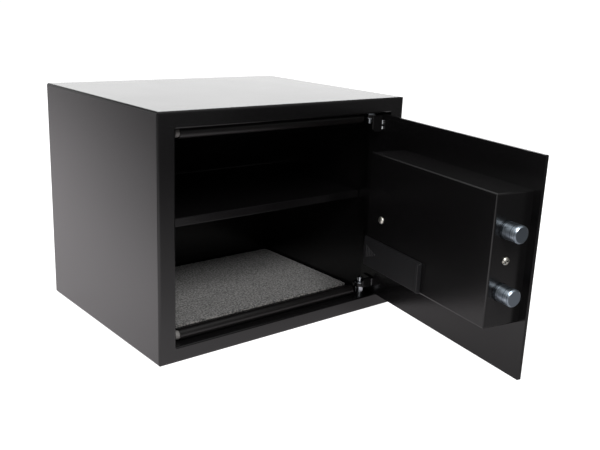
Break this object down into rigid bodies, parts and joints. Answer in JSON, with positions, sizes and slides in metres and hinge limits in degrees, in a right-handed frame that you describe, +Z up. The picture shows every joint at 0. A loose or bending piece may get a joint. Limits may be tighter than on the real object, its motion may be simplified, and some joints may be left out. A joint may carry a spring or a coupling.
{
  "type": "in room safe",
  "caption": "Small front-opening steel safe with its door swung open: keypad lock, motor-driven round bolts, inner shelf, guard bars behind the rails and a felt floor mat.",
  "frame": {"origin": "centre of the cabinet's underside", "axes": "+Z up, -Y out of the cabinet's front, +Y into the wall behind it, +X towards the hinge side"},
  "size_m": [0.38, 0.5973, 0.3],
  "materials": {
    "black_coat": "satin textured black powder coat",
    "zinc_plate": "bright zinc plate",
    "bare_steel": "plain cold-rolled steel",
    "black_plastic": "fine-textured moulded plastic",
    "dark_plastic": "satin moulded plastic",
    "window": "polished dark acrylic",
    "felt": "grey needle felt",
    "board": "solder-masked glass-fibre board",
    "brass": "turned brass",
    "cell_jacket": "plain film jacket",
    "rubber": "moulded silicone",
    "lead": "flat ribbon lead",
    "key_plastic": "satin light grey moulded keys"
  },
  "bodies": {
    "cabinet": {"cabinet_shell": "black_coat", "back_panel": "black_coat", "top_guard_bar": "black_coat", "bottom_guard_bar": "black_coat", "bar_end_caps": "rubber", "upper_hinge_pin": "zinc_plate", "lower_hinge_pin": "zinc_plate", "thrust_washers": "zinc_plate", "left_shelf_ledge": "black_coat", "right_shelf_ledge": "black_coat", "shelf": "black_coat", "floor_mat": "felt"},
    "door": {"door_plate": "black_coat", "upper_hinge_bracket": "black_coat", "lower_hinge_bracket": "black_coat", "hinge_collars": "zinc_plate", "bolt_guide": "bare_steel", "cover_post": "bare_steel", "cover_tab": "bare_steel", "lock_cover": "black_coat", "cover_screws": "zinc_plate", "battery_tray": "black_plastic", "battery_cells": "cell_jacket", "battery_contacts": "zinc_plate", "gearbox": "dark_plastic", "gearbox_screws": "zinc_plate", "motor": "bare_steel", "circuit_board": "board", "board_spacers": "brass", "keypad_fascia": "dark_plastic", "display_window": "window", "display_module": "dark_plastic", "keypad_board": "board", "key_mat": "rubber", "fascia_screws": "zinc_plate", "ribbon_cable": "lead", "service_port": "zinc_plate"},
    "bolts": {"bolt_carriage": "bare_steel", "upper_bolt": "zinc_plate", "lower_bolt": "zinc_plate", "bolt_screws": "zinc_plate"},
    "pinion": {"drive_pinion": "brass"},
    "battery_lid": {"battery_lid": "black_plastic"},
    "key_1": {"key_1": "key_plastic"},
    "key_2": {"key_2": "key_plastic"},
    "key_3": {"key_3": "key_plastic"},
    "key_4": {"key_4": "key_plastic"},
    "key_5": {"key_5": "key_plastic"},
    "key_6": {"key_6": "key_plastic"},
    "key_7": {"key_7": "key_plastic"},
    "key_8": {"key_8": "key_plastic"},
    "key_9": {"key_9": "key_plastic"},
    "key_clear": {"key_clear": "key_plastic"},
    "key_0": {"key_0": "key_plastic"},
    "key_lock": {"key_lock": "key_plastic"}
  },
  "joints": [
    {"name": "door_hinge", "type": "hinge", "parent": "cabinet", "child": "door", "pos_m": [0.1458, -0.1323, 0.15], "axis": [0, 0, 1], "range_deg": [-78.9, 18]},
    {"name": "bolt_throw", "type": "slide", "parent": "door", "child": "bolts", "axis": [0.1925, 0.9813, 0], "range_m": [0, 0.02]},
    {"name": "pinion_spin", "type": "hinge", "parent": "door", "child": "pinion", "pos_m": [0.08871, -0.33082, 0.14975], "axis": [-0.9813, 0.1925, 0], "range_deg": [0, 143.3]},
    {"name": "battery_lid_slide", "type": "slide", "parent": "door", "child": "battery_lid", "axis": [-0.1925, -0.9813, 0], "range_m": [0, 0.012]},
    {"name": "key_1_press", "type": "slide", "parent": "door", "child": "key_1", "axis": [-0.9813, 0.1925, 0], "range_m": [0, 0.0015], "stiffness_N_per_m": 300},
    {"name": "key_2_press", "type": "slide", "parent": "door", "child": "key_2", "axis": [-0.9813, 0.1925, 0], "range_m": [0, 0.0015], "stiffness_N_per_m": 300},
    {"name": "key_3_press", "type": "slide", "parent": "door", "child": "key_3", "axis": [-0.9813, 0.1925, 0], "range_m": [0, 0.0015], "stiffness_N_per_m": 300},
    {"name": "key_4_press", "type": "slide", "parent": "door", "child": "key_4", "axis": [-0.9813, 0.1925, 0], "range_m": [0, 0.0015], "stiffness_N_per_m": 300},
    {"name": "key_5_press", "type": "slide", "parent": "door", "child": "key_5", "axis": [-0.9813, 0.1925, 0], "range_m": [0, 0.0015], "stiffness_N_per_m": 300},
    {"name": "key_6_press", "type": "slide", "parent": "door", "child": "key_6", "axis": [-0.9813, 0.1925, 0], "range_m": [0, 0.0015], "stiffness_N_per_m": 300},
    {"name": "key_7_press", "type": "slide", "parent": "door", "child": "key_7", "axis": [-0.9813, 0.1925, 0], "range_m": [0, 0.0015], "stiffness_N_per_m": 300},
    {"name": "key_8_press", "type": "slide", "parent": "door", "child": "key_8", "axis": [-0.9813, 0.1925, 0], "range_m": [0, 0.0015], "stiffness_N_per_m": 300},
    {"name": "key_9_press", "type": "slide", "parent": "door", "child": "key_9", "axis": [-0.9813, 0.1925, 0], "range_m": [0, 0.0015], "stiffness_N_per_m": 300},
    {"name": "key_clear_press", "type": "slide", "parent": "door", "child": "key_clear", "axis": [-0.9813, 0.1925, 0], "range_m": [0, 0.0015], "stiffness_N_per_m": 300},
    {"name": "key_0_press", "type": "slide", "parent": "door", "child": "key_0", "axis": [-0.9813, 0.1925, 0], "range_m": [0, 0.0015], "stiffness_N_per_m": 300},
    {"name": "key_lock_press", "type": "slide", "parent": "door", "child": "key_lock", "axis": [-0.9813, 0.1925, 0], "range_m": [0, 0.0015], "stiffness_N_per_m": 300}
  ],
  "couplings": [
    {"joint": "pinion_spin", "follows": "bolt_throw", "rad_per_m": 125}
  ]
}
